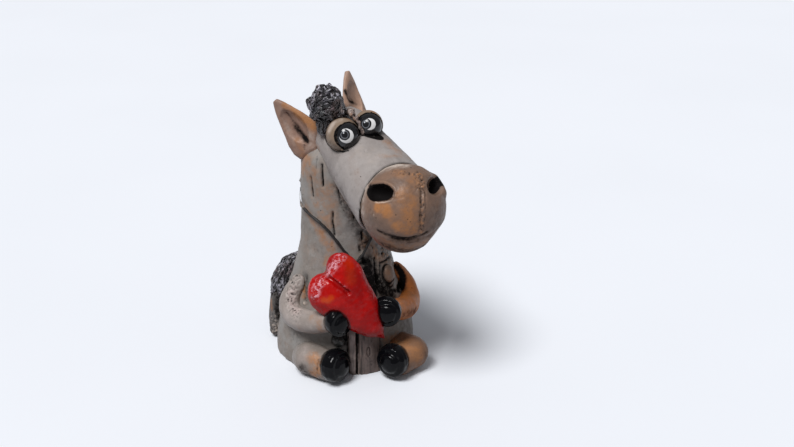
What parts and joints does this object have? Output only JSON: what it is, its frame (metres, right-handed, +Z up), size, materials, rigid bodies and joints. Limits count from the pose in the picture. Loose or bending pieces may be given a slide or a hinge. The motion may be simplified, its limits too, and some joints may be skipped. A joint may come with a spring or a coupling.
{
  "type": "ceramic donkey figurine",
  "caption": "Palm-size fired-clay donkey that sits on a hollow cone body, looks to its left and holds a glossy red heart that hangs from a cord round its neck.",
  "frame": {"origin": "on the table under the middle of the base plate", "axes": "+Z up, the figure's chest faces -Y and its own left side is +X; its head is turned to its left"},
  "size_m": [0.0512, 0.0735, 0.0998],
  "materials": {
    "grey_clay": "matte fired clay with dark oxide in its slits",
    "brown_clay": "satin fired clay with an orange-brown wash",
    "tan_clay": "satin fired clay",
    "black_oxide": "black oxide with a slight metallic glint",
    "black_glaze": "glossy black glaze",
    "red_glaze": "glossy red glaze"
  },
  "bodies": {
    "root": {"base_plate": "grey_clay", "belly_knob": "black_oxide", "belly_strip": "grey_clay", "body_shell": "grey_clay", "brow_strands": "tan_clay", "chest_lump": "brown_clay", "ear_left": "brown_clay", "ear_right": "brown_clay", "eyeball_left": "black_glaze", "eyeball_right": "black_glaze", "eyelid_left": "tan_clay", "eyelid_right": "tan_clay", "fore_hoof_left": "black_glaze", "fore_hoof_right": "black_glaze", "foreleg_left": "brown_clay", "foreleg_right": "brown_clay", "forelock": "black_oxide", "head": "grey_clay", "heart": "red_glaze", "hind_hoof_left": "black_glaze", "hind_hoof_right": "black_glaze", "hind_leg_left": "brown_clay", "hind_leg_right": "brown_clay", "mane": "black_oxide", "muzzle": "brown_clay", "neck_cord": "black_oxide", "tail": "brown_clay", "tail_tuft": "black_oxide"}
  },
  "joints": []
}
